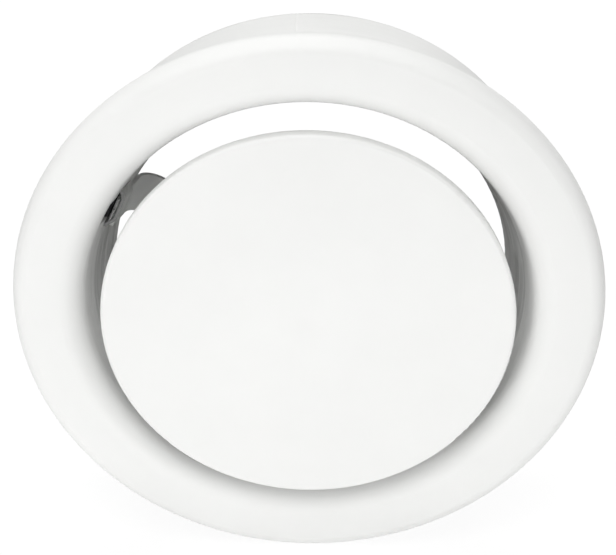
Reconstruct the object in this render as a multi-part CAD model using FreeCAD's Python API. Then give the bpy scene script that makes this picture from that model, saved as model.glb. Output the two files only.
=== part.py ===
import FreeCAD, Part
import math
import os

# Round air valve with an adjustable disc, for a wall or ceiling duct.
# The axis is Y. The wall plane is y = 0, the room is on the -Y side and the duct on the +Y side.
# Profiles are drawn as (radius, height), where height is the distance from the wall into the room.

# Mounting frame: sleeve that goes into the duct, with a flange on the wall
sleeve_radius = 79.5
sleeve_depth = 50.0
frame_sheet = 1.0
sleeve_curl_radius = 3.0
sleeve_curl_angle = 70.0
flange_bend_radius = 1.0
flange_width = 13.5
screw_hole_radius = 2.25
screw_hole_count = 4
screw_hole_inset = 4.5
screw_hole_turn = 45.0
seam_angle = 93.6
seam_width = 0.8
seam_depth = 0.3

# Front ring and neck, one pressing
ring_overhang = 19.5
ring_sheet = 1.0
rim_roll_radius = 5.3
rim_roll_angle = 80.0
rim_wall_gap = 0.4
face_width = 16.0
face_rise = 0.8
lip_radius = 9.0
neck_gap = 12.3
neck_depth = 21.3

# Foam ring between the neck and the mouth of the sleeve
gasket_inset = 0.2
gasket_height = 4.8
gasket_gap = 0.2
gasket_boss_gap = 0.3

# Bridge: bowed strap across the neck, with a narrower tongue at one side of each end
bridge_turn = 22.0
strap_width = 15.0
strap_sheet = 1.2
bridge_depth = 26.0
foot_bend_radius = 6.4
arm_angle = 24.0
pad_depth = 8.0
pad_bend_radius = 6.0
foot_gap = 0.05
tongue_width = 7.5
tongue_reach = 10.5
tongue_step = 1.2
tongue_bevel = 4.0
tongue_edge = 0.35

# Loops pressed inward from the neck wall, which hold the bridge's tongues
loop_depth = 0.7
loop_height = 8.0
loop_slope = 3.0
loop_bend_radius = 1.5
loop_gap = 0.5
shoulder_gap = 0.3
slot_gap = 0.5
long_slot = 6.0
short_slot = 1.5

# Spring clips on the outside of the neck, with their rivets
clip_count = 3
clip_turn = 20.0
clip_width = 12.0
clip_sheet = 0.8
clip_inset = 1.3
clip_foot_length = 10.0
clip_back_radius = 2.4
clip_crest_radius = 3.0
clip_crest_depth = 12.0
clip_end_angle = 135.0
clip_end_length = 3.5
clip_wall_gap = 0.2
clip_seat_gap = 0.03
rivet_radius = 1.6
rivet_gap = 0.05
rivet_head_radius = 2.7
rivet_head_height = 1.0
rivet_head_round = 0.5
rivet_seat_gap = 0.06

# Disc, pressed as a shallow dish
disc_overlap = 2.8
disc_sheet = 1.0
disc_edge_height = 17.8
disc_edge_radius = 1.2
disc_dome_radius = 900.0
disc_skirt = 3.6
disc_skirt_taper = 8.0
disc_hem_radius = 1.8
disc_hem = 2.0

# Spindle and its nuts
spindle_radius = 4.0
thread_gap = 0.05
spindle_hole_gap = 0.5
spindle_tail = 19.0
spindle_chamfer = 0.8
spindle_flange_radius = 14.0
spindle_flange = 1.5
spindle_flange_fillet = 1.5
weld_gap = 0.02
nut_flats = 13.0
bridge_nut_height = 6.5
lock_nut_height = 4.0
lock_nut_turn = 15.0
nut_chamfer_angle = 30.0
stop_travel = 10.0
stop_clearance = 0.3
stop_ring_radius = 8.0
stop_ring_height = 1.5
stop_ring_round = 0.5

# Radii and heights that follow from the sizes above
ring_outer_radius = sleeve_radius + ring_overhang
sleeve_inner_radius = sleeve_radius - frame_sheet
flange_radius = sleeve_radius + flange_width
screw_circle_radius = sleeve_radius + screw_hole_inset
rim_centre_radius = ring_outer_radius - rim_roll_radius
rim_centre_height = rim_wall_gap + rim_roll_radius
crest_radius = ring_outer_radius - face_width
crest_height = rim_centre_height + rim_roll_radius + face_rise
lip_centre_height = crest_height - lip_radius
neck_back_radius = sleeve_inner_radius - neck_gap
disc_radius = neck_back_radius + disc_overlap

os.makedirs("parts", exist_ok=True)
axis_point = FreeCAD.Vector(0, 0, 0)
axis_line = FreeCAD.Vector(0, 1, 0)


def spot(radius, height):
    """Point of a profile, drawn in the plane z = 0."""
    return FreeCAD.Vector(radius, -height, 0)


def on_circle(centre, radius, degrees):
    """Point at an angle on a circle, counted from outward towards the room."""
    turn = math.radians(degrees)
    return (centre[0] + radius * math.cos(turn), centre[1] + radius * math.sin(turn))


def line(start, end):
    """Straight stretch of a sheet's skin."""
    return {"kind": "line", "start": start, "end": end}


def arc(centre, radius, first, last):
    """Round stretch of a sheet's skin, from the first angle to the last."""
    return {"kind": "arc", "centre": centre, "radius": radius, "first": first, "last": last}


def skin_edges(path, shift):
    """Ends and edges of a path moved sideways by shift, to the left of its direction."""
    edges = []
    ends = []
    for piece in path:
        if piece["kind"] == "line":
            run = (piece["end"][0] - piece["start"][0], piece["end"][1] - piece["start"][1])
            length = math.hypot(run[0], run[1])
            side = (-run[1] / length * shift, run[0] / length * shift)
            start = (piece["start"][0] + side[0], piece["start"][1] + side[1])
            end = (piece["end"][0] + side[0], piece["end"][1] + side[1])
            edges.append(Part.LineSegment(spot(*start), spot(*end)).toShape())
        else:
            turns_left = piece["last"] > piece["first"]
            radius = piece["radius"] - shift if turns_left else piece["radius"] + shift
            start = on_circle(piece["centre"], radius, piece["first"])
            middle = on_circle(piece["centre"], radius, (piece["first"] + piece["last"]) / 2)
            end = on_circle(piece["centre"], radius, piece["last"])
            edges.append(Part.Arc(spot(*start), spot(*middle), spot(*end)).toShape())
        ends.append((start, end))
    return edges, ends[0][0], ends[-1][1]


def sheet_section(path, thickness):
    """Face between a skin and its copy, one sheet thickness to the left of it."""
    near, near_start, near_end = skin_edges(path, 0.0)
    far, far_start, far_end = skin_edges(path, thickness)
    caps = [
        Part.LineSegment(spot(*near_end), spot(*far_end)).toShape(),
        Part.LineSegment(spot(*far_start), spot(*near_start)).toShape(),
    ]
    edges = Part.sortEdges(near + far + caps)[0]
    return Part.Face(Part.Wire(edges))


def rounded_path(corners, radii):
    """Path through corner points, with a tangent arc of the given radius at each inner corner."""
    path = []
    last = corners[0]
    for before, corner, after, radius in zip(corners, corners[1:], corners[2:], radii):
        heading_in = math.atan2(corner[1] - before[1], corner[0] - before[0])
        heading_out = math.atan2(after[1] - corner[1], after[0] - corner[0])
        turn = math.remainder(heading_out - heading_in, math.tau)
        setback = radius * math.tan(abs(turn) / 2)
        start = (
            corner[0] - setback * math.cos(heading_in),
            corner[1] - setback * math.sin(heading_in),
        )
        side = math.copysign(math.pi / 2, turn)
        centre = (
            start[0] + radius * math.cos(heading_in + side),
            start[1] + radius * math.sin(heading_in + side),
        )
        first = math.degrees(heading_in - side)
        path.append(line(last, start))
        path.append(arc(centre, radius, first, first + math.degrees(turn)))
        last = (
            corner[0] + setback * math.cos(heading_out),
            corner[1] + setback * math.sin(heading_out),
        )
    path.append(line(last, corners[-1]))
    return path


def revolved(face):
    """Full turn of a profile about the valve's axis."""
    return face.revolve(axis_point, axis_line, 360)


def outline(points):
    """Face inside straight lines through profile points."""
    vectors = [spot(*point) for point in points]
    return Part.Face(Part.makePolygon(vectors + vectors[:1]))


def rod(radius, low, high):
    """Cylinder on the axis between two heights."""
    return Part.makeCylinder(radius, high - low, spot(0, high), axis_line)


def block(reach_in, reach_out, low, high, width):
    """Box along the strap's own direction, between two radii and two heights."""
    corner = FreeCAD.Vector(reach_in, -high, -width / 2)
    return Part.makeBox(reach_out - reach_in, high - low, width, corner)


def at_end(shape, half_turn):
    """Copy of a shape at one end of the bridge, turned to the bridge's direction."""
    copy = shape.copy()
    copy.rotate(axis_point, axis_line, half_turn + bridge_turn)
    return copy


def save(shape, name):
    """One sound solid to its own file."""
    if not shape.isValid():
        raise ValueError(name + " is not a valid shape")
    shape.exportStep("parts/" + name + ".step")


# Front ring: rolled rim, slightly crowned face, lip, then a tapering neck
rim_to_crest = rim_centre_radius - crest_radius
face_reach = (rim_to_crest ** 2 + face_rise ** 2) / (2 * face_rise)
face_radius = face_reach + rim_roll_radius
face_end = 90.0 - math.degrees(math.asin(rim_to_crest / face_reach))
face_centre = (crest_radius, crest_height - face_radius)
rim_centre = (rim_centre_radius, rim_centre_height)
lip_centre = (crest_radius, lip_centre_height)
to_lip = (crest_radius - neck_back_radius, lip_centre_height + neck_depth)
to_lip_length = math.hypot(to_lip[0], to_lip[1])
neck_angle = math.acos(lip_radius / to_lip_length) - math.atan2(to_lip[1], to_lip[0])
neck_taper = math.tan(neck_angle)
lip_end = 180.0 - math.degrees(neck_angle)
ring_path = [
    arc(rim_centre, rim_roll_radius, -rim_roll_angle, face_end),
    arc(face_centre, face_radius, face_end, 90.0),
    arc(lip_centre, lip_radius, 90.0, lip_end),
    line(on_circle(lip_centre, lip_radius, lip_end), (neck_back_radius, -neck_depth)),
]
ring = revolved(sheet_section(ring_path, ring_sheet))


def neck_radius(height):
    """Inside radius of the tapering neck at a height."""
    return neck_back_radius + neck_taper * (height + neck_depth)


# Bridge: flat legs on the neck wall, bows behind the neck, sloping arms and a flat pad
def leg_radius(height):
    """Distance from the axis to the flat outer face of a leg, whose two edges meet the neck first."""
    wall = neck_radius(height) - foot_gap
    return math.sqrt(wall ** 2 - (strap_width / 2) ** 2)


loop_front = -loop_depth
loop_back = loop_front - loop_height
shoulder = loop_back - shoulder_gap
tongue_tip = shoulder + tongue_reach
pad_back = -pad_depth
pad_front = pad_back + strap_sheet
bow_radius = foot_bend_radius + strap_sheet
bow_height = bow_radius - bridge_depth
leg_lean = math.degrees(math.atan(leg_radius(1.0) - leg_radius(0.0)))
bow_centre = (leg_radius(bow_height) - bow_radius / math.cos(math.radians(leg_lean)), bow_height)
bow_turn = 90.0 + arm_angle - leg_lean
bow_corner = on_circle(
    bow_centre,
    bow_radius / math.cos(math.radians(bow_turn / 2)),
    -(90.0 + arm_angle + leg_lean) / 2,
)
pad_reach = bow_corner[0] - (pad_back - bow_corner[1]) / math.tan(math.radians(arm_angle))
right_half = [(leg_radius(tongue_tip), tongue_tip), bow_corner, (pad_reach, pad_back)]
left_half = [(-radius, height) for radius, height in reversed(right_half)]
strap_radii = [bow_radius, pad_bend_radius]
strap_path = rounded_path(right_half + left_half, strap_radii + strap_radii[::-1])
strap = sheet_section(strap_path, -strap_sheet)
strap.translate(FreeCAD.Vector(0, 0, -strap_width / 2))
bridge = strap.extrude(FreeCAD.Vector(0, 0, strap_width))
tongue_inner = leg_radius(shoulder) - 3 * strap_sheet
tongue_shift = -(strap_width - tongue_width) / 2
past_tip = tongue_tip + strap_sheet
bevel_start = tongue_tip - tongue_bevel
bevel_depth = (strap_sheet - tongue_edge) / math.cos(math.radians(leg_lean))


def bevel_radius(height):
    """Distance from the axis to the bevel that thins a tongue from its outer face towards its tip."""
    return leg_radius(height) - bevel_depth * (height - bevel_start) / tongue_bevel


bevel_section = outline(
    [
        (bevel_radius(bevel_start), bevel_start),
        (sleeve_radius, bevel_start),
        (sleeve_radius, past_tip),
        (bevel_radius(past_tip), past_tip),
    ]
)
bevel_section.translate(FreeCAD.Vector(0, 0, -strap_width))
bevel = bevel_section.extrude(FreeCAD.Vector(0, 0, 2 * strap_width))
for half_turn in (0.0, 180.0):
    trim = block(tongue_inner, sleeve_radius, shoulder, past_tip, strap_width)
    trim.translate(FreeCAD.Vector(0, 0, tongue_shift + (tongue_width + strap_width) / 2))
    step = block(tongue_inner, sleeve_radius, tongue_tip - tongue_step, past_tip, tongue_width)
    step.translate(FreeCAD.Vector(0, 0, tongue_shift - tongue_width / 2))
    waste = trim.fuse(step).fuse(bevel)
    waste.rotate(axis_point, axis_line, half_turn)
    bridge = bridge.cut(waste)
bridge = bridge.cut(rod(spindle_radius + spindle_hole_gap, pad_back - strap_sheet, pad_front + strap_sheet))
bridge.rotate(axis_point, axis_line, bridge_turn)
save(bridge, "bridge")

# Loop: a strip of the neck wall between a slot and a window, pressed inward over the tongue
lean = math.radians(leg_lean)
loop_outer = leg_radius(loop_front) - (strap_sheet + loop_gap) / math.cos(lean)
loop_half = tongue_width / 2 + slot_gap
loop_end = loop_half + loop_slope
wall_middle = neck_radius(loop_front) + ring_sheet / 2


def loop_root(offset):
    """Distance from the axis to the middle of the wall, at a sideways offset from the strap's middle."""
    return math.sqrt(wall_middle ** 2 - offset ** 2)


loop_corners = [
    (loop_root(tongue_shift - loop_end), tongue_shift - loop_end),
    (loop_outer, tongue_shift - loop_half),
    (loop_outer, tongue_shift + loop_half),
    (loop_root(tongue_shift + loop_end), tongue_shift + loop_end),
]
loop_path = rounded_path(loop_corners, [loop_bend_radius, loop_bend_radius])
loop = sheet_section(loop_path, ring_sheet)
loop.rotate(axis_point, FreeCAD.Vector(1, 0, 0), -90)
loop.translate(FreeCAD.Vector(0, -loop_front, 0))
loop_run = FreeCAD.Vector(-loop_height * math.tan(lean), loop_height, 0)
loop = loop.extrude(loop_run)
window_inner = neck_radius(loop_back) - ring_sheet
window = block(window_inner, sleeve_radius, loop_back, loop_front, 2 * loop_end - ring_sheet)
for half_turn, slot_height in ((0.0, short_slot), (180.0, long_slot)):
    slot = block(window_inner, sleeve_radius, loop_front, loop_front + slot_height, 2 * loop_half)
    opening = window.fuse(slot)
    opening.translate(FreeCAD.Vector(0, 0, tongue_shift))
    ring = ring.cut(at_end(opening, half_turn))
    ring = ring.fuse(at_end(loop, half_turn))

# Spring clips: foot on the neck, bend round its back end, crest against the sleeve
neck_lean = math.degrees(neck_angle)
outside = ring_sheet / math.cos(neck_angle) + clip_seat_gap


def clip_foot(height):
    """Profile point on the neck side of a clip's foot."""
    return (neck_radius(height) + outside, height)


foot_end = clip_inset - neck_depth
foot_front = clip_foot(foot_end + clip_foot_length)
foot_back = clip_foot(foot_end)
clip_back = on_circle(foot_back, clip_back_radius, -neck_lean)
clip_reach = math.sqrt((sleeve_inner_radius - clip_wall_gap) ** 2 - (clip_width / 2) ** 2)
clip_crest = (clip_reach - clip_crest_radius, -clip_crest_depth)
reach = (clip_crest[0] - clip_back[0], clip_crest[1] - clip_back[1])
reach_length = math.hypot(reach[0], reach[1])
arm_heading = math.degrees(math.atan2(reach[1], reach[0]))
arm_heading -= math.degrees(math.asin((clip_crest_radius - clip_back_radius) / reach_length))
crest_end = on_circle(clip_crest, clip_crest_radius, clip_end_angle - 90.0)
clip_path = [
    line(foot_front, foot_back),
    arc(clip_back, clip_back_radius, 180.0 - neck_lean, arm_heading + 270.0),
    line(
        on_circle(clip_back, clip_back_radius, arm_heading - 90.0),
        on_circle(clip_crest, clip_crest_radius, arm_heading - 90.0),
    ),
    arc(clip_crest, clip_crest_radius, arm_heading - 90.0, clip_end_angle - 90.0),
    line(crest_end, on_circle(crest_end, clip_end_length, clip_end_angle)),
]
clip = sheet_section(clip_path, clip_sheet)
clip.translate(FreeCAD.Vector(0, 0, -clip_width / 2))
clip = clip.extrude(FreeCAD.Vector(0, 0, clip_width))

# Rivet through the neck and the clip's foot, square to the neck wall
rivet_height = foot_end + clip_foot_length / 2
rivet_seat = spot(neck_radius(rivet_height), rivet_height)
rivet_line = FreeCAD.Vector(math.cos(neck_angle), math.sin(neck_angle), 0)
grip = ring_sheet + clip_seat_gap * math.cos(neck_angle) + clip_sheet


def along_rivet(distance):
    """Point on the rivet's line, counted outward from the neck's inside."""
    return rivet_seat + rivet_line * distance


rivet = Part.makeCylinder(rivet_radius, grip + 2 * rivet_seat_gap, along_rivet(-rivet_seat_gap), rivet_line)
inner_head = Part.makeCylinder(
    rivet_head_radius, rivet_head_height, along_rivet(-rivet_seat_gap), rivet_line * -1
)
outer_head = Part.makeCylinder(
    rivet_head_radius, rivet_head_height, along_rivet(grip + rivet_seat_gap), rivet_line
)
for head, top in (
    (inner_head, along_rivet(-rivet_seat_gap - rivet_head_height)),
    (outer_head, along_rivet(grip + rivet_seat_gap + rivet_head_height)),
):
    rims = [edge for edge in head.Edges if edge.Closed and edge.CenterOfMass.distanceToPoint(top) < rivet_head_round]
    rivet = rivet.fuse(head.makeFillet(rivet_head_round, rims))
rivet = rivet.removeSplitter()
rivet_hole = Part.makeCylinder(rivet_radius + rivet_gap, 4 * grip, along_rivet(-grip), rivet_line)
clip = clip.cut(rivet_hole)
for number in range(clip_count):
    turn = bridge_turn + clip_turn + number * 360.0 / clip_count
    hole = rivet_hole.copy()
    hole.rotate(axis_point, axis_line, turn)
    ring = ring.cut(hole)
    for shape, name in ((clip, "spring_clip_"), (rivet, "clip_rivet_")):
        copy = shape.copy()
        copy.rotate(axis_point, axis_line, turn)
        save(copy, name + str(number + 1))
save(ring, "valve_ring")

# Foam ring: it fills the mouth of the sleeve round the tapering neck, and swells into the loops' windows
gasket_front = -flange_bend_radius - gasket_inset
gasket_back = gasket_front - gasket_height


def round_neck(height):
    """Profile point just outside the neck at a height."""
    return (neck_radius(height) + ring_sheet / math.cos(neck_angle) + gasket_gap, height)


gasket_section = outline(
    [
        round_neck(gasket_front),
        (sleeve_inner_radius, gasket_front),
        (sleeve_inner_radius, gasket_back),
        round_neck(gasket_back),
    ]
)
gasket = revolved(gasket_section)
boss_section = outline(
    [
        (leg_radius(gasket_front) + gasket_gap, gasket_front),
        ((neck_back_radius + sleeve_inner_radius) / 2 + 2 * ring_sheet, gasket_front),
        ((neck_back_radius + sleeve_inner_radius) / 2 + 2 * ring_sheet, gasket_back),
        (leg_radius(gasket_back) + gasket_gap, gasket_back),
    ]
)
boss_width = tongue_width + 2 * gasket_boss_gap
boss_section.translate(FreeCAD.Vector(0, 0, tongue_shift - boss_width / 2))
boss = boss_section.extrude(FreeCAD.Vector(0, 0, boss_width))
for half_turn in (0.0, 180.0):
    gasket = gasket.fuse(at_end(boss, half_turn))
save(gasket, "ring_gasket")

# Mounting frame: curled back edge, sleeve, bend and flange
curl_drop = sleeve_curl_radius * math.sin(math.radians(sleeve_curl_angle))
curl_centre = (sleeve_radius - sleeve_curl_radius, curl_drop - sleeve_depth)
bend_centre = (sleeve_radius + flange_bend_radius, -flange_bend_radius)
frame_path = [
    arc(curl_centre, sleeve_curl_radius, -sleeve_curl_angle, 0.0),
    line((sleeve_radius, curl_centre[1]), (sleeve_radius, -flange_bend_radius)),
    arc(bend_centre, flange_bend_radius, 180.0, 90.0),
    line((bend_centre[0], 0.0), (flange_radius, 0.0)),
]
frame = revolved(sheet_section(frame_path, frame_sheet))
seam = Part.makeBox(
    2 * seam_depth,
    sleeve_depth - flange_bend_radius,
    seam_width,
    FreeCAD.Vector(sleeve_radius - seam_depth, flange_bend_radius, -seam_width / 2),
)
seam.rotate(axis_point, axis_line, -seam_angle)
frame = frame.cut(seam)
for number in range(screw_hole_count):
    hole = Part.makeCylinder(
        screw_hole_radius,
        3 * frame_sheet,
        spot(screw_circle_radius, 2 * frame_sheet),
        axis_line,
    )
    hole.rotate(axis_point, axis_line, screw_hole_turn + number * 360.0 / screw_hole_count)
    frame = frame.cut(hole)
save(frame, "mounting_frame")

# Disc: hem, tapered skirt, soft edge and very slight dome
edge_centre = (disc_radius - disc_edge_radius, disc_edge_height)
dome_reach = disc_dome_radius - disc_edge_radius
dome_end = 90.0 - math.degrees(math.asin(edge_centre[0] / dome_reach))
dome_centre = (0.0, disc_edge_height - math.sqrt(dome_reach ** 2 - edge_centre[0] ** 2))
edge_start = on_circle(edge_centre, disc_edge_radius, -disc_skirt_taper)
taper = math.radians(disc_skirt_taper)
skirt_start = (
    edge_start[0] - disc_skirt * math.sin(taper),
    edge_start[1] - disc_skirt * math.cos(taper),
)
hem_centre = (
    skirt_start[0] - disc_hem_radius * math.cos(taper),
    skirt_start[1] + disc_hem_radius * math.sin(taper),
)
hem_end = (hem_centre[0], hem_centre[1] - disc_hem_radius)
disc_path = [
    line((hem_end[0] - disc_hem, hem_end[1]), hem_end),
    arc(hem_centre, disc_hem_radius, -90.0, -disc_skirt_taper),
    line(skirt_start, edge_start),
    arc(edge_centre, disc_edge_radius, -disc_skirt_taper, dome_end),
    arc(dome_centre, disc_dome_radius, dome_end, 90.0),
]
disc = revolved(sheet_section(disc_path, disc_sheet))
save(disc, "disc")

# Spindle: weld flange against the back of the disc, shank, chamfered tail behind the bridge
dome_inside = disc_dome_radius - disc_sheet
flange_front = dome_centre[1] + math.sqrt(dome_inside ** 2 - spindle_flange_radius ** 2) - weld_gap
flange_back = flange_front - spindle_flange
tail_end = pad_back - spindle_tail
fillet_centre = (spindle_radius + spindle_flange_fillet, flange_back - spindle_flange_fillet)
fillet_middle = on_circle(fillet_centre, spindle_flange_fillet, 135.0)
spindle_edges = [
    Part.LineSegment(spot(0, flange_front), spot(spindle_flange_radius, flange_front)).toShape(),
    Part.LineSegment(spot(spindle_flange_radius, flange_front), spot(spindle_flange_radius, flange_back)).toShape(),
    Part.LineSegment(spot(spindle_flange_radius, flange_back), spot(fillet_centre[0], flange_back)).toShape(),
    Part.Arc(
        spot(fillet_centre[0], flange_back),
        spot(*fillet_middle),
        spot(spindle_radius, fillet_centre[1]),
    ).toShape(),
    Part.LineSegment(spot(spindle_radius, fillet_centre[1]), spot(spindle_radius, tail_end + spindle_chamfer)).toShape(),
    Part.LineSegment(
        spot(spindle_radius, tail_end + spindle_chamfer),
        spot(spindle_radius - spindle_chamfer, tail_end),
    ).toShape(),
    Part.LineSegment(spot(spindle_radius - spindle_chamfer, tail_end), spot(0, tail_end)).toShape(),
    Part.LineSegment(spot(0, tail_end), spot(0, flange_front)).toShape(),
]
spindle = revolved(Part.Face(Part.Wire(spindle_edges)))
save(spindle, "spindle")


def hexagon_nut(low, high):
    """Hexagon nut on the axis, with turned corners and a bore that clears the spindle."""
    corner = nut_flats / 2 / math.cos(math.radians(30.0))
    corners = []
    for number in range(6):
        turn = math.radians(60.0 * number)
        corners.append(FreeCAD.Vector(corner * math.cos(turn), -high, corner * math.sin(turn)))
    prism = Part.Face(Part.makePolygon(corners + corners[:1])).extrude(FreeCAD.Vector(0, high - low, 0))
    flat = nut_flats / 2
    drop = (corner - flat) * math.tan(math.radians(nut_chamfer_angle))
    turned = [(0, low), (flat, low), (corner, low + drop), (corner, high - drop), (flat, high), (0, high)]
    body = prism.common(revolved(outline(turned)))
    return body.cut(rod(spindle_radius + thread_gap, low - nut_flats, high + nut_flats))


bridge_nut = hexagon_nut(pad_front, pad_front + bridge_nut_height)
bridge_nut.rotate(axis_point, axis_line, bridge_turn)
save(bridge_nut, "bridge_nut")
lock_nut = hexagon_nut(pad_back - lock_nut_height, pad_back)
lock_nut.rotate(axis_point, axis_line, bridge_turn + lock_nut_turn)
save(lock_nut, "lock_nut")

# Retaining ring: it meets the lock nut when the disc is wound right out
stop_front = pad_back - lock_nut_height - stop_travel - stop_clearance
stop_back = stop_front - stop_ring_height
stop_ring = rod(stop_ring_radius, stop_back, stop_front)
stop_ring = stop_ring.cut(rod(spindle_radius + thread_gap, stop_back - stop_ring_height, stop_front + stop_ring_height))
rims = [edge for edge in stop_ring.Edges if edge.Length > math.tau * (stop_ring_radius - stop_ring_round)]
stop_ring = stop_ring.makeFillet(stop_ring_round, rims)
save(stop_ring, "stop_ring")
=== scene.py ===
# %% [markdown]
# # A round disc valve, dressed for its photograph
# This lesson takes a finished engineering model of a ventilation valve and gives it its looks.
# The valve is a white ring with a tapering neck, a flat disc that screws in and out in front of it,
# and a sleeve that goes into the duct. The engineering model already has the true shapes, so most of
# the work is in finishes, light and camera. Two pieces that the model keeps plain, the spindle with its
# screw thread and the foam ring, are made here as surfaces worked out with numpy.

# %% Load the frame
import math
import bpy
import numpy as np
from mathutils import Matrix, Vector


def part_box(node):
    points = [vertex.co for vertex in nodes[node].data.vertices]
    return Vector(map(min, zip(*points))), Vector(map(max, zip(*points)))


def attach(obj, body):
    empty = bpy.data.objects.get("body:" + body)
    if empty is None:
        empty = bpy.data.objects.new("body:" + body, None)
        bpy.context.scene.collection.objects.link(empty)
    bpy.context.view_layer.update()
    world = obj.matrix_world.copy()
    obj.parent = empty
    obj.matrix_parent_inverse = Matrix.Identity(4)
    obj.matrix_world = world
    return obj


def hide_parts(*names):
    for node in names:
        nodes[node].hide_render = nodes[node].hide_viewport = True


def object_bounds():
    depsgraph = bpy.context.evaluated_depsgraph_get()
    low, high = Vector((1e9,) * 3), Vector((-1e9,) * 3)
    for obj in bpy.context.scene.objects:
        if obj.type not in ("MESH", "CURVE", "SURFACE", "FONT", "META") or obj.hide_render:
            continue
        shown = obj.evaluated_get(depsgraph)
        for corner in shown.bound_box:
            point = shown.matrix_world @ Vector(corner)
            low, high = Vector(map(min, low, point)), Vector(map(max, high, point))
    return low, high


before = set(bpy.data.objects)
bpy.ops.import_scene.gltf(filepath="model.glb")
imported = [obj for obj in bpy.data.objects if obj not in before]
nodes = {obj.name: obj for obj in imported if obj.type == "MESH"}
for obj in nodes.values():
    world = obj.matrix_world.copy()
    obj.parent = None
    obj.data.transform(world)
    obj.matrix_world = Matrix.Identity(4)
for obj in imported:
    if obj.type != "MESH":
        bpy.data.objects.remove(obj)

cad_low, cad_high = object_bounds()
print("loaded", len(nodes), "pieces, box in metres", tuple(cad_low), tuple(cad_high))

# %% [markdown]
# ## Grids of points become meshes
# Each new piece of the valve is a grid: rows along a profile and columns round the axis. Moving vertices
# one by one in Python is slow and hard to read, so the whole grid is one numpy array, and the faces come
# from index arithmetic on that array. The last column joins the first, so there is no seam. A piece that
# starts and ends on its axis gets one more point at each end, with a fan of triangles, so that its poles
# are closed and not a ring of zero-width faces.


# %% Helpers for surfaces on a grid
def ring_faces(rows, columns, joined_ends):
    """Quads between neighbouring rows: corners (i, j), (i, j + 1), (i + 1, j + 1), (i + 1, j), with j
    counted round the ring, and i too where the last row joins the first."""
    steps = rows if joined_ends else rows - 1
    row, column = np.meshgrid(np.arange(steps), np.arange(columns), indexing="ij")
    next_row = (row + 1) % rows
    next_column = (column + 1) % columns
    corners = [
        row * columns + column,
        row * columns + next_column,
        next_row * columns + next_column,
        next_row * columns + column,
    ]
    return np.stack(corners, axis=-1).reshape(-1, 4)


def round_the_axis(radius, depth, turn):
    """Points at a radius from the Y axis: x = radius cos(turn), y = depth, z = -radius sin(turn), so that
    a growing turn is right-handed about +Y."""
    x = radius * np.cos(turn)
    z = -radius * np.sin(turn)
    y = np.broadcast_to(depth, x.shape)
    return np.stack([x, y, z], axis=-1)


def new_piece(name, vertices, faces, sharp_angle=30.0):
    """Mesh object from arrays, smooth all over but for edges that turn by more than the sharp angle."""
    mesh = bpy.data.meshes.new(name)
    mesh.from_pydata(vertices.tolist(), [], [face.tolist() for face in faces])
    mesh.polygons.foreach_set("use_smooth", np.ones(len(mesh.polygons), dtype=bool))
    mesh.set_sharp_from_angle(angle=math.radians(sharp_angle))
    mesh.update()
    piece = bpy.data.objects.new(name, mesh)
    bpy.context.scene.collection.objects.link(piece)
    print(name, "has", len(mesh.vertices), "points and", len(mesh.polygons), "faces")
    return piece


def held_volume(mesh):
    """Volume in cubic centimetres: a sixth of the sum of a . (b x c) over the triangles a, b, c. On a
    closed piece it is above zero only where the faces point outward."""
    mesh.calc_loop_triangles()
    corners = np.empty(len(mesh.loop_triangles) * 3, dtype=np.int32)
    mesh.loop_triangles.foreach_get("vertices", corners)
    places = np.empty(len(mesh.vertices) * 3)
    mesh.vertices.foreach_get("co", places)
    a, b, c = np.moveaxis(places.reshape(-1, 3)[corners.reshape(-1, 3)], 1, 0)
    return round(float(np.sum(a * np.cross(b, c))) / 6.0 * 1e6, 3)


# %% [markdown]
# ## Finishes start with shared effects
# Some effects turn up in several finishes, so each is a node group that is built once. *Mottle* is the slow
# change of tone that keeps a painted or plated sheet from looking like plastic. *Peel* is the fine dimpling
# of powder coat, which is dust of paint melted into a film. *Spun lines* are the faint rings left on sheet
# that was drawn round an axis. They follow the distance from the axis and the place along it, so they run
# round the piece, as the tool did, and they fade out before the show face, which is smooth. *Slot shade* is
# painted shade: the front-facing cut edges of the loops and slots deep in the neck are painted dark grey.


# %% Node helpers
def group_with(name, setting, result):
    """Empty node group with one named number as its input and one as its output, and both their sockets."""
    tree = bpy.data.node_groups.new(name, "ShaderNodeTree")
    tree.interface.new_socket(setting, in_out="INPUT", socket_type="NodeSocketFloat")
    tree.interface.new_socket(result, in_out="OUTPUT", socket_type="NodeSocketFloat")
    given = tree.nodes.new("NodeGroupInput").outputs[setting]
    wanted = tree.nodes.new("NodeGroupOutput").inputs[result]
    return tree, given, wanted


def add(tree, kind, **settings):
    """New node of a kind, with its properties set."""
    node = tree.nodes.new(kind)
    for name, value in settings.items():
        setattr(node, name, value)
    return node


def feed(tree, socket, value):
    """Socket set to a number or linked to another socket."""
    if isinstance(value, (int, float)):
        socket.default_value = value
    else:
        tree.links.new(value, socket)


def reckon(tree, operation, first, second):
    """Math node on two values, each a socket or a number."""
    node = add(tree, "ShaderNodeMath", operation=operation)
    feed(tree, node.inputs[0], first)
    feed(tree, node.inputs[1], second)
    return node.outputs[0]


def ranged(tree, value, from_low, from_high, to_low=0.0, to_high=1.0):
    """Number from to_low to to_high as a value goes from from_low to from_high, and no further."""
    node = add(tree, "ShaderNodeMapRange")
    tree.links.new(value, node.inputs["Value"])
    node.inputs["From Min"].default_value = from_low
    node.inputs["From Max"].default_value = from_high
    node.inputs["To Min"].default_value = to_low
    node.inputs["To Max"].default_value = to_high
    return node.outputs["Result"]


# %% Places and patterns
def object_place(tree):
    """The point on the piece, in metres."""
    return add(tree, "ShaderNodeTexCoord").outputs["Object"]


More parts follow.
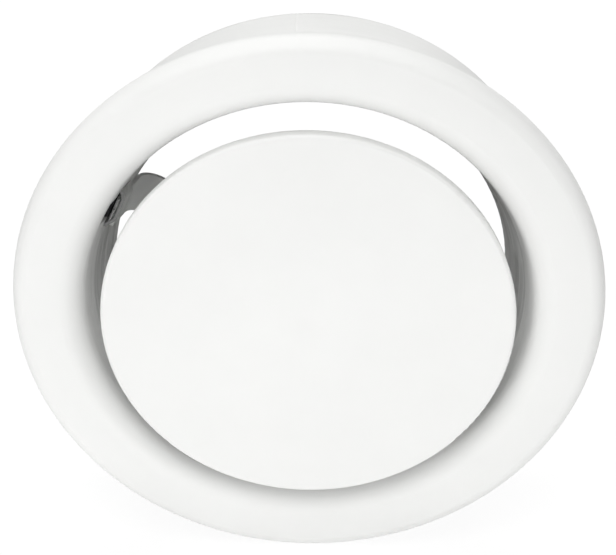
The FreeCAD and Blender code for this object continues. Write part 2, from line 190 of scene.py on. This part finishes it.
def from_axis(tree, place):
    """Distance of a place from the valve's axis, the square root of x x + z z, and its depth y."""
    split = add(tree, "ShaderNodeSeparateXYZ")
    tree.links.new(place, split.inputs[0])
    x, y, z = split.outputs
    square = reckon(tree, "ADD", reckon(tree, "MULTIPLY", x, x), reckon(tree, "MULTIPLY", z, z))
    return reckon(tree, "SQRT", square, 0.0), y


def noise(tree, place, scale, detail=2.0, roughness=0.5):
    """Value of a soft random pattern at a place, about 0.5 on average."""
    node = add(tree, "ShaderNodeTexNoise")
    node.inputs["Detail"].default_value = detail
    node.inputs["Roughness"].default_value = roughness
    tree.links.new(place, node.inputs["Vector"])
    feed(tree, node.inputs["Scale"], scale)
    return node.outputs["Fac"]


# %% Mottle and peel
fine_ratio = 3.1
fine_share = 0.35
mottle, mottle_scale, mottle_tone = group_with("mottle", "Scale", "Tone")
mottle.links.new(noise(mottle, object_place(mottle), mottle_scale, detail=3.0), mottle_tone)

peel, peel_scale, peel_height = group_with("peel", "Scale", "Height")
peel_place = object_place(peel)
peel_coarse = noise(peel, peel_place, peel_scale, detail=1.0)
peel_fine = noise(peel, peel_place, reckon(peel, "MULTIPLY", peel_scale, fine_ratio), detail=1.0)
peel_sum = reckon(peel, "ADD", peel_coarse, reckon(peel, "MULTIPLY", peel_fine, fine_share))
peel.links.new(peel_sum, peel_height)
print("effects:", mottle.name, peel.name)

# %% Spun lines
wander_scale = 18.0
wander_size = 0.03
lines_begin = -0.012
lines_full = 0.001
spun, spun_scale, spun_height = group_with("spun_lines", "Scale", "Height")
spun_place = object_place(spun)
spun_radius, spun_depth = from_axis(spun, spun_place)
spun_wander = reckon(spun, "MULTIPLY", noise(spun, spun_place, wander_scale), wander_size)
spun_join = add(spun, "ShaderNodeCombineXYZ")
for value, socket in zip((spun_radius, spun_depth, spun_wander), spun_join.inputs):
    spun.links.new(value, socket)
spun_value = noise(spun, spun_join.outputs[0], spun_scale, detail=3.0, roughness=0.6)
spun_fade = ranged(spun, spun_depth, lines_begin, lines_full)
spun.links.new(reckon(spun, "MULTIPLY", spun_value, spun_fade), spun_height)
print("effect:", spun.name)

# %% Painted shade on the slot edges
# Painted shade: faces that look forward inside the neck, at the depth of the loops and slots, are marked to
# be painted dark grey.
front_facing = -0.75
neck_outside = 0.0765
slot_shade_front = -0.008
slot_shade_back = 0.004
lanced, slot_shade_strength, slot_shade_mask = group_with("lanced_edges", "Strength", "Mask")
slot_shade_spot = add(lanced, "ShaderNodeTexCoord")
slot_shade_radius, slot_shade_depth = from_axis(lanced, slot_shade_spot.outputs["Object"])
slot_shade_normal = add(lanced, "ShaderNodeSeparateXYZ")
lanced.links.new(slot_shade_spot.outputs["Normal"], slot_shade_normal.inputs[0])
slot_shade_tests = [
    reckon(lanced, "LESS_THAN", slot_shade_normal.outputs[1], front_facing),
    reckon(lanced, "LESS_THAN", slot_shade_radius, neck_outside),
    reckon(lanced, "GREATER_THAN", slot_shade_depth, slot_shade_front),
    reckon(lanced, "LESS_THAN", slot_shade_depth, slot_shade_back),
]
slot_shade_amount = slot_shade_strength
for test in slot_shade_tests:
    slot_shade_amount = reckon(lanced, "MULTIPLY", slot_shade_amount, test)
lanced.links.new(slot_shade_amount, slot_shade_mask)
print("effect:", lanced.name)

# %% Helpers for finishes
pattern_low = 0.3
pattern_high = 0.7


def new_finish(name):
    """Material with a Principled shader, its tree and that shader."""
    material = bpy.data.materials.new(name)
    material.use_nodes = True
    tree = material.node_tree
    return material, tree, tree.nodes["Principled BSDF"]


def use_group(tree, group, setting):
    """A shared effect placed in a finish with its one input set, and its one output."""
    node = add(tree, "ShaderNodeGroup", node_tree=group)
    node.inputs[0].default_value = setting
    return node.outputs[0]


def tone_between(tree, amount, low, high):
    """Colour that goes from one tone to another as a pattern goes through its middle range."""
    ramp = add(tree, "ShaderNodeValToRGB")
    ramp.color_ramp.elements[0].position = pattern_low
    ramp.color_ramp.elements[1].position = pattern_high
    ramp.color_ramp.elements[0].color = (*low, 1.0)
    ramp.color_ramp.elements[1].color = (*high, 1.0)
    tree.links.new(amount, ramp.inputs["Fac"])
    return ramp.outputs["Color"]


def value_between(tree, amount, low, high):
    """Number that goes from low to high as a pattern goes through its middle range."""
    return ranged(tree, amount, pattern_low, pattern_high, low, high)


# %% Mixing and bumps
def mix_by(tree, kind, amount):
    """Mix node for colours (RGBA) or vectors (VECTOR), its amount linked: its two inputs and its output."""
    node = add(tree, "ShaderNodeMix", data_type=kind)
    tree.links.new(amount, node.inputs["Factor"])
    first, second = [socket for socket in node.inputs if socket.type == kind and socket.name in ("A", "B")]
    mixed = [socket for socket in node.outputs if socket.type == kind][0]
    return first, second, mixed


def raise_grain(tree, shader, layers, normal=None):
    """Chain of bumps on a normal or the mesh's own, each a height, a strength and a depth in metres."""
    for height, strength, depth in layers:
        bump = add(tree, "ShaderNodeBump")
        bump.inputs["Strength"].default_value = strength
        bump.inputs["Distance"].default_value = depth
        tree.links.new(height, bump.inputs["Height"])
        if normal is not None:
            tree.links.new(normal, bump.inputs["Normal"])
        normal = bump.outputs["Normal"]
    tree.links.new(normal, shader.inputs["Normal"])


# %% [markdown]
# ## White powder coat
# The ring, disc, bridge and mounting frame are steel sheet under a white, half-gloss powder coat. A plain
# white shader looks like paper, because real coat has a thin clear skin over a bright body. Here the body
# colour drifts by a hair between two warm whites, the gloss drifts with it, and two bumps give the peel of
# the coat and the drawing lines that show through it in the neck and, faintly, on the frame. Along the
# lines the coat is painted grey in streaks, a painted reflection of the dark streaks a glossy neck shows.
# In the middle of the disc a ring of thin triangles meets in one point, where a mesh has no sound normal
# and a spot would show. The dome is part of a sphere, so its true normal is worked out there from the
# sphere's centre.

# %% The dome's normal
disc_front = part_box("disc")[0].y
dome_radius = 0.9
dome_middle = 0.0006


def dome_normal(tree):
    """Normal of the disc's dome near its middle, (place - centre) / |place - centre|, and the mesh's own
    elsewhere. The middle is what lies less than its own depth behind the foremost point."""
    place = object_place(tree)
    from_centre = add(tree, "ShaderNodeVectorMath", operation="SUBTRACT")
    from_centre.inputs[1].default_value = (0.0, disc_front + dome_radius, 0.0)
    tree.links.new(place, from_centre.inputs[0])
    unit = add(tree, "ShaderNodeVectorMath", operation="NORMALIZE")
    tree.links.new(from_centre.outputs[0], unit.inputs[0])
    turned = add(tree, "ShaderNodeVectorTransform", vector_type="NORMAL")
    turned.convert_from = "OBJECT"
    turned.convert_to = "WORLD"
    tree.links.new(unit.outputs[0], turned.inputs[0])
    split = add(tree, "ShaderNodeSeparateXYZ")
    tree.links.new(place, split.inputs[0])
    in_middle = reckon(tree, "LESS_THAN", split.outputs[1], disc_front + dome_middle)
    own, dome, chosen = mix_by(tree, "VECTOR", in_middle)
    tree.links.new(add(tree, "ShaderNodeNewGeometry").outputs["Normal"], own)
    tree.links.new(turned.outputs[0], dome)
    return chosen


print("disc's front at", round(disc_front, 5))

# %% White powder coat
coat_low = (0.86, 0.863, 0.85)
coat_high = (0.89, 0.893, 0.88)
# Grey painted in streaks along the drawing lines, a painted reflection.
coat_painted_streak = (0.55, 0.55, 0.54)
# Dark grey painted on the slot edges in the neck, as painted shade.
coat_painted_shade = (0.30, 0.30, 0.30)
coat_mottle = 22.0
coat_roughness = (0.46, 0.54)
coat_index = 1.42
line_scale = 150.0
line_depth = 0.0009
# Where the drawing lines turn into painted grey streaks, the painted reflection.
painted_streak_begins = 0.44
painted_streak_full = 0.68
coat_peel = 650.0
coat_peel_strength = 0.10
coat_peel_depth = 0.0002


def mixed_in(tree, amount, colour, other):
    """Colour socket mixed with another, plain colour by an amount from 0 to 1."""
    first, second, mixed = mix_by(tree, "RGBA", amount)
    tree.links.new(colour, first)
    second.default_value = (*other, 1.0)
    return mixed


def powder_coat(name, lines, painted_streaks, own_normal=None):
    """White coat with its peel, with drawing lines of a given strength, and with a given share of grey
    painted in streaks along them as painted reflection, on the mesh's normals or on those of a given
    function. The cut edges in the neck's slots get painted shade, a dark grey."""
    material, tree, shader = new_finish(name)
    tone = use_group(tree, mottle, coat_mottle)
    drawn = use_group(tree, spun, line_scale)
    # Painted reflection: grey streaks along the drawing lines.
    painted_streak_share = ranged(tree, drawn, painted_streak_begins, painted_streak_full, 0.0, painted_streaks)
    painted_streaked = mixed_in(tree, painted_streak_share, tone_between(tree, tone, coat_low, coat_high), coat_painted_streak)
    # Painted shade: the marked slot edges in the neck are painted dark grey.
    slot_shaded = mixed_in(tree, use_group(tree, lanced, 1.0), painted_streaked, coat_painted_shade)
    tree.links.new(slot_shaded, shader.inputs["Base Color"])
    tree.links.new(value_between(tree, tone, *coat_roughness), shader.inputs["Roughness"])
    shader.inputs["IOR"].default_value = coat_index
    dimples = use_group(tree, peel, coat_peel)
    layers = [(drawn, lines, line_depth), (dimples, coat_peel_strength, coat_peel_depth)]
    raise_grain(tree, shader, layers, own_normal(tree) if own_normal else None)
    # The correction goes by the mesh's own normals, so it is off where others stand for them.
    material.cycles.use_bump_map_correction = own_normal is None
    return material


coats = {
    "valve_ring": powder_coat("white_powder_coat_ring", lines=1.0, painted_streaks=0.8),
    "mounting_frame": powder_coat("white_powder_coat_frame", lines=0.2, painted_streaks=0.03),
    "bridge": powder_coat("white_powder_coat_bridge", lines=0.0, painted_streaks=0.0),
    "disc": powder_coat("white_powder_coat_disc", lines=0.0, painted_streaks=0.0, own_normal=dome_normal),
}
for name, coat in coats.items():
    nodes[name].data.materials[0] = coat
print("white coat on", list(coats))

# %% [markdown]
# ## Bare metals
# The nuts, stop ring and rivets are zinc-plated, and the clips are rolled spring strip. Both are metals, so
# their colour is the colour of their reflection. Zinc is pale with cloudy patches. Spring strip is darker
# and has fine lines along the strip from the rolling mill, which a noise stretched along the valve's axis
# gives, because that is the way the strips run.

# %% Zinc plating
metal_grain_strength = 0.2
metal_grain_depth = 0.00006
zinc_low = (0.50, 0.51, 0.53)
zinc_high = (0.66, 0.67, 0.68)
zinc_clouds = 160.0
zinc_roughness = (0.24, 0.40)
zinc_peel = 1800.0
zinc_bright, zinc_tree, zinc_shader = new_finish("bright_zinc")
zinc_tone = use_group(zinc_tree, mottle, zinc_clouds)
zinc_colour = tone_between(zinc_tree, zinc_tone, zinc_low, zinc_high)
zinc_gloss = value_between(zinc_tree, zinc_tone, *zinc_roughness)
zinc_tree.links.new(zinc_colour, zinc_shader.inputs["Base Color"])
zinc_tree.links.new(zinc_gloss, zinc_shader.inputs["Roughness"])
zinc_shader.inputs["Metallic"].default_value = 1.0
zinc_dimples = use_group(zinc_tree, peel, zinc_peel)
raise_grain(zinc_tree, zinc_shader, [(zinc_dimples, metal_grain_strength, metal_grain_depth)])
zinc_names = ("bridge_nut", "lock_nut", "stop_ring", "clip_rivet_1", "clip_rivet_2", "clip_rivet_3")
for name in zinc_names:
    nodes[name].data.materials[0] = zinc_bright
print("zinc on", zinc_names)

# %% Spring strip
strip_low = (0.27, 0.275, 0.29)
strip_high = (0.38, 0.385, 0.40)
strip_clouds = 120.0
strip_roughness = (0.22, 0.40)
rolled_along = (1.0, 0.04, 1.0)
rolled_scale = 2600.0
strip_steel, strip_tree, strip_shader = new_finish("rolled_spring_strip")
strip_tone = use_group(strip_tree, mottle, strip_clouds)
strip_colour = tone_between(strip_tree, strip_tone, strip_low, strip_high)
strip_tree.links.new(strip_colour, strip_shader.inputs["Base Color"])
strip_shader.inputs["Metallic"].default_value = 1.0
strip_stretch = add(strip_tree, "ShaderNodeMapping")
strip_stretch.inputs["Scale"].default_value = rolled_along
strip_tree.links.new(object_place(strip_tree), strip_stretch.inputs["Vector"])
strip_lines = noise(strip_tree, strip_stretch.outputs["Vector"], rolled_scale, detail=3.0)
strip_gloss = value_between(strip_tree, strip_lines, *strip_roughness)
strip_tree.links.new(strip_gloss, strip_shader.inputs["Roughness"])
raise_grain(strip_tree, strip_shader, [(strip_lines, metal_grain_strength, metal_grain_depth)])
strip_names = ("spring_clip_1", "spring_clip_2", "spring_clip_3")
for name in strip_names:
    nodes[name].data.materials[0] = strip_steel
print("spring strip on", strip_names)

# %% [markdown]
# ## The threaded spindle
# The engineering model has a plain rod where the real spindle has an M8 thread, because the thread matters
# only to the eye. A thread could be a screw modifier on a small profile, but its ends would be open and
# would need patching. Here the whole spindle is one turned surface whose radius dips as a wave that climbs
# one pitch for each turn. The wave has flat crests and roots joined by straight flanks, and it fades out
# under the weld flange and at the chamfered tail.

# %% Profile of the spindle
spindle_low, spindle_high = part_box("spindle")
flange_radius = spindle_high.x
flange_front = spindle_low.y
tail_end = spindle_high.y
shank_radius = 0.004
flange_height = 0.0015
flange_fillet = 0.0015
flange_round = 0.0003
tail_chamfer = 0.0008
thread_pitch = 0.00125
rows_per_pitch = 12
corner_points = 5
fillet_points = 7


def profile_arc(centre_radius, centre_depth, radius, first, last, count):
    """Arc of a profile: r = centre + radius cos(angle), y = centre + radius sin(angle), where the angle
    goes from the first to the last one, in degrees."""
    angle = np.radians(np.linspace(first, last, count))
    radii = centre_radius + radius * np.cos(angle)
    depths = centre_depth + radius * np.sin(angle)
    return np.stack([radii, depths], axis=-1)


flange_back = flange_front + flange_height
corner_radius = flange_radius - flange_round
fillet_radius = shank_radius + flange_fillet
shank_start = flange_back + flange_fillet
shank_end = tail_end - tail_chamfer
shank_rows = int((shank_end - shank_start) / thread_pitch * rows_per_pitch)
shank_depths = np.linspace(shank_start, shank_end, shank_rows)
profile = np.concatenate(
    [
        [[flange_radius / 2, flange_front]],
        profile_arc(corner_radius, flange_front + flange_round, flange_round, -90, 0, corner_points),
        profile_arc(corner_radius, flange_back - flange_round, flange_round, 0, 90, corner_points),
        profile_arc(fillet_radius, shank_start, flange_fillet, -90, -180, fillet_points)[:-1],
        np.stack([np.full(shank_rows, shank_radius), shank_depths], axis=-1),
        [[shank_radius - tail_chamfer, tail_end], [shank_radius / 2, tail_end]],
    ]
)
print("spindle's profile has", len(profile), "points")

# %% Thread on the spindle
spindle_columns = 64
thread_depth = 0.613 * thread_pitch
crest_share = 0.125
root_share = 0.25
tail_fade = 0.4 * thread_pitch
turn = np.linspace(0.0, math.tau, spindle_columns, endpoint=False)[None, :]
depth = profile[:, 1:2]
phase = np.mod((depth - shank_start) / thread_pitch - turn / math.tau, 1.0)
flank = np.abs(phase - 0.5) * 2.0
groove = np.clip((1.0 - crest_share - flank) / (1.0 - crest_share - root_share), 0.0, 1.0)
fade_in = np.clip((depth - shank_start - thread_pitch) / thread_pitch, 0.0, 1.0)
fade_out = np.clip((shank_end - depth) / tail_fade, 0.0, 1.0)
threaded = (depth >= shank_start) & (depth <= shank_end)
radius = profile[:, :1] - thread_depth * groove * fade_in * fade_out * threaded
grid = round_the_axis(radius, depth, turn)
print("thread between radii", round(float(radius[threaded[:, 0]].min()), 6), "and", shank_radius)

# %% Spindle's mesh
spindle_sharp_angle = 38.0
front_pole = np.array([[0.0, flange_front, 0.0]])
tail_pole = np.array([[0.0, tail_end, 0.0]])
spindle_points = np.concatenate([grid.reshape(-1, 3), front_pole, tail_pole])
around = np.arange(spindle_columns)
after = (around + 1) % spindle_columns
last_row = (len(profile) - 1) * spindle_columns
front_index = np.full(spindle_columns, len(spindle_points) - 2)
tail_index = np.full(spindle_columns, len(spindle_points) - 1)
front_fan = np.stack([front_index, after, around], axis=-1)
tail_fan = np.stack([tail_index, last_row + around, last_row + after], axis=-1)
spindle_faces = [*ring_faces(len(profile), spindle_columns, False), *front_fan, *tail_fan]
spindle = new_piece("threaded_spindle", spindle_points, spindle_faces, spindle_sharp_angle)
spindle.data.materials.append(zinc_bright)
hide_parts("spindle")
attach(spindle, "disc")
print("threaded spindle holds", held_volume(spindle.data), "cubic centimetres")

# %% [markdown]
# ## The foam ring
# Between the tapering neck and the mouth of the sleeve sits a ring of closed-cell foam, which stops air
# from creeping past the valve. It is cut from sheet, so its corners are soft, and its faces swell a little
# where it is squeezed. The section is a rounded box worked out in one go: small powers of cosine and sine
# give a square with soft corners, whose inner side then leans to follow the neck. At the two windows that
# hold the bridge nothing squeezes the foam, so it swells into them. The finish is a dark foam whose small
# cells come from a cell pattern, which is the distance to the nearest of many scattered points.

# %% Foam ring
foam_low, foam_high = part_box("ring_gasket")
foam_outer = foam_high.x
foam_inner_front = 0.0736
foam_inner_back = 0.0721
foam_skin = 0.00005
section_points = 48
foam_columns = 480
foam_sharp_angle = 60.0
softness = 0.28
swell_size = 0.015
swell_waves = 9.0
swell_beats = 4.0
beat_start = 1.0
boss_turn = math.radians(25.0)
boss_half_width = math.radians(3.1)
boss_slope = math.radians(1.9)
boss_height = 0.00145


def soft_power(wave):
    """A wave's sign times a small power of its size, which squares off the wave."""
    return np.sign(wave) * np.abs(wave) ** softness


section_angle = np.linspace(0.0, math.tau, section_points, endpoint=False)[:, None]
across = (soft_power(np.cos(section_angle)) + 1.0) / 2.0
along = (soft_power(np.sin(section_angle)) + 1.0) / 2.0
foam_turn = np.linspace(0.0, math.tau, foam_columns, endpoint=False)[None, :]
ripple = np.sin(swell_waves * foam_turn) * np.cos(swell_beats * foam_turn + beat_start)
foam_swell = 1.0 - swell_size * (1.0 + ripple)
foam_thickness = foam_high.y - foam_low.y - 2.0 * foam_skin
foam_middle = (foam_low.y + foam_high.y) / 2.0
foam_depth = foam_middle + (along - 0.5) * foam_thickness * foam_swell
from_boss = np.abs(np.mod(foam_turn - boss_turn + math.pi / 2, math.pi) - math.pi / 2)
boss = boss_height * np.clip((boss_half_width + boss_slope - from_boss) / boss_slope, 0.0, 1.0)
foam_inner = foam_inner_front + along * (foam_inner_back - foam_inner_front) + foam_skin - boss
foam_radius = foam_inner + across * (foam_outer - foam_skin - foam_inner)
foam_points = round_the_axis(foam_radius, foam_depth, foam_turn).reshape(-1, 3)
foam_faces = ring_faces(section_points, foam_columns, True)
foam_ring = new_piece("foam_ring", foam_points, foam_faces, foam_sharp_angle)
print("foam ring holds", held_volume(foam_ring.data), "cubic centimetres")

# %% Foam finish
foam_dark_tone = (0.015, 0.015, 0.017)
foam_pale_tone = (0.032, 0.032, 0.034)
foam_mottle = 240.0
foam_roughness = 0.85
cell_scale = 1500.0
cell_strength = 0.5
cell_depth = 0.0002
foam_dark, foam_tree, foam_shader = new_finish("closed_cell_foam")
foam_tone = use_group(foam_tree, mottle, foam_mottle)
foam_colour = tone_between(foam_tree, foam_tone, foam_dark_tone, foam_pale_tone)
foam_tree.links.new(foam_colour, foam_shader.inputs["Base Color"])
foam_shader.inputs["Roughness"].default_value = foam_roughness
foam_cells = add(foam_tree, "ShaderNodeTexVoronoi")
foam_cells.inputs["Scale"].default_value = cell_scale
foam_tree.links.new(object_place(foam_tree), foam_cells.inputs["Vector"])
raise_grain(foam_tree, foam_shader, [(foam_cells.outputs["Distance"], cell_strength, cell_depth)])
foam_ring.data.materials.append(foam_dark)
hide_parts("ring_gasket")
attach(foam_ring, "valve")
print("foam finish on", foam_ring.name)

# %% [markdown]
# ## Floor and background
# The photograph has a pure white ground. Lighting a floor until it clips would burn out the white valve as
# well, so the floor tells rays apart: the camera and reflections see a floor that gives off its own white
# and still takes a little of the shadow, while bounced light meets a plain matte floor. The floor throws no
# shadow of its own, so a lamp below can shine through it, as through a light table. Behind the neck hangs a
# dark card, which photographers use to keep stray light out of a hollow. The camera does not see the card,
# and it keeps the inside of the neck about as dark as in the photograph.

# %% Floor
floor_half_width = 6.0
floor_gap = 0.0004
floor_height = cad_low.z - floor_gap
floor_corners = np.array([[-1.0, -1.0, 0.0], [1.0, -1.0, 0.0], [1.0, 1.0, 0.0], [-1.0, 1.0, 0.0]])
floor_points = floor_corners * floor_half_width + np.array([0.0, 0.0, floor_height])
floor = new_piece("floor", floor_points, [np.arange(4)])
floor.visible_shadow = False
print("floor at", floor_height)

# %% Floor finish
shown_glow = 0.93
shown_matte = 0.12
bounce_matte = 0.8


def seen_directly(tree):
    """One for camera rays, reflections and rays through glass, zero for bounced light."""
    path = add(tree, "ShaderNodeLightPath")
    seen = reckon(tree, "MAXIMUM", path.outputs["Is Camera Ray"], path.outputs["Is Glossy Ray"])
    return reckon(tree, "MAXIMUM", seen, path.outputs["Is Transmission Ray"])


def matte(tree, lightness):
    """Matte white surface of a given lightness."""
    cloth = add(tree, "ShaderNodeBsdfDiffuse")
    cloth.inputs["Color"].default_value = (lightness, lightness, lightness, 1.0)
    return cloth.outputs[0]


floor_white = bpy.data.materials.new("white_ground")
floor_white.use_nodes = True
floor_tree = floor_white.node_tree
floor_tree.nodes.clear()
floor_glow = add(floor_tree, "ShaderNodeEmission")
floor_glow.inputs["Strength"].default_value = shown_glow
floor_shown = add(floor_tree, "ShaderNodeAddShader")
floor_tree.links.new(floor_glow.outputs[0], floor_shown.inputs[0])
floor_tree.links.new(matte(floor_tree, shown_matte), floor_shown.inputs[1])
floor_choice = add(floor_tree, "ShaderNodeMixShader")
floor_tree.links.new(seen_directly(floor_tree), floor_choice.inputs["Fac"])
floor_tree.links.new(matte(floor_tree, bounce_matte), floor_choice.inputs[1])
floor_tree.links.new(floor_shown.outputs[0], floor_choice.inputs[2])
floor_tree.links.new(floor_choice.outputs[0], add(floor_tree, "ShaderNodeOutputMaterial").inputs["Surface"])
floor.data.materials.append(floor_white)
print("floor finish:", floor_white.name)

# %% Dark card
card_radius = 0.11
card_depth = 0.085
card_corners = 48
card_tone = 0.005
card_turn = np.linspace(0.0, math.tau, card_corners, endpoint=False)
card_points = round_the_axis(np.full(card_corners, card_radius), card_depth, card_turn)
card = new_piece("dark_card", card_points, [np.arange(card_corners)])
card.visible_camera = False
card.visible_transmission = False
card.visible_shadow = False
card_black, _, card_shader = new_finish("black_card")
card_shader.inputs["Base Color"].default_value = (card_tone, card_tone, card_tone, 1.0)
card_shader.inputs["Roughness"].default_value = 1.0
card.data.materials.append(card_black)
print("card at depth", card_depth)

# %% World
world_dim = 0.14
world = bpy.data.worlds.new("studio")
bpy.context.scene.world = world
world.use_nodes = True
world_tree = world.node_tree
world_tree.nodes.clear()
world_ground = add(world_tree, "ShaderNodeBackground")
world_ground.inputs["Color"].default_value = (1.0, 1.0, 1.0, 1.0)
world_strength = reckon(world_tree, "MAXIMUM", seen_directly(world_tree), world_dim)
world_tree.links.new(world_strength, world_ground.inputs["Strength"])
world_tree.links.new(world_ground.outputs[0], add(world_tree, "ShaderNodeOutputWorld").inputs["Surface"])
print("white world that lights at", world_dim)

# %% [markdown]
# ## Light
# The shading in the photograph says where the light stands. The tops of the sleeve and rim are bright, so
# two lamps stand high. The underside of the lip is bright as well, so one shines up through the floor. The
# inside of the lip is darker on the left than on the right, so a lamp stands at the lower left. Two weak
# lamps at the sides lift the outer edges, and one on the axis lets the back be seen. Light adds up, so each
# lamp's power can be judged with the others off, and the sum then tuned to the tones of the photograph. The
# lamps are large, so their shadows are soft.


# %% Lamps
def soft_lamp(name, place, width, height, power):
    """Oblong area lamp at a place, turned to the valve, with its power in watts."""
    lamp = bpy.data.lights.new(name, "AREA")
    lamp.shape = "RECTANGLE"
    lamp.size = width
    lamp.size_y = height
    lamp.energy = power
    stand = bpy.data.objects.new(name, lamp)
    stand.location = place
    stand.rotation_euler = (-Vector(place)).to_track_quat("-Z", "Y").to_euler()
    stand.visible_camera = False
    bpy.context.scene.collection.objects.link(stand)
    print(name, "gives", power, "watts")


soft_lamp("high_lamp", (-0.2, -0.85, 1.3), 0.9, 0.7, 8.15)
soft_lamp("low_left_lamp", (-0.84, -1.29, 0.1), 0.5, 0.45, 4.4)
soft_lamp("crown_lamp", (0.0, 0.3, 1.4), 1.0, 0.5, 11.4)
soft_lamp("table_lamp", (0.0, -1.2, -0.6), 0.9, 0.5, 5.5)
soft_lamp("left_lamp", (-1.5, -0.4, 0.25), 0.8, 0.6, 1.9)
soft_lamp("right_lamp", (1.5, -0.4, 0.1), 0.8, 0.6, 4.2)
soft_lamp("back_lamp", (0.0, 1.5, 0.05), 0.4, 0.4, 1.1)

# %% [markdown]
# ## Camera
# The camera was found by matching ellipses: the rim, the lip, the disc and the sleeve are circles on one
# axis, and only one viewpoint turns them into the ellipses of the photograph. It stands 31 degrees above
# the axis with a long lens, so the valve shows almost no perspective.

# %% Camera
azimuth = math.radians(1.187)
elevation = math.radians(31.05)
ring_middle = Vector((0.0, -0.0057, 0.0))
distance = 1.188
shift_right = 0.000297
shift_down = 0.00693
focal_pixels = 3552.0
image_width = 616
sensor_width = 36.0
right = Vector((math.cos(azimuth), math.sin(azimuth), 0.0))
forward = Vector(
    (
        -math.sin(azimuth) * math.cos(elevation),
        math.cos(azimuth) * math.cos(elevation),
        -math.sin(elevation),
    )
)
up = right.cross(forward)
camera_data = bpy.data.cameras.new("photo_camera")
camera_data.sensor_width = sensor_width
camera_data.lens = focal_pixels / image_width * sensor_width
camera_data.clip_start = 0.05
camera = bpy.data.objects.new("photo_camera", camera_data)
place = ring_middle - right * shift_right + up * shift_down - forward * distance
camera.matrix_world = Matrix(
    (
        (right.x, up.x, -forward.x, place.x),
        (right.y, up.y, -forward.y, place.y),
        (right.z, up.z, -forward.z, place.z),
        (0.0, 0.0, 0.0, 1.0),
    )
)
bpy.context.scene.collection.objects.link(camera)
bpy.context.scene.camera = camera
bpy.context.scene.view_settings.view_transform = "Standard"
print("camera at", tuple(round(value, 4) for value in place), "lens", round(camera_data.lens, 1))
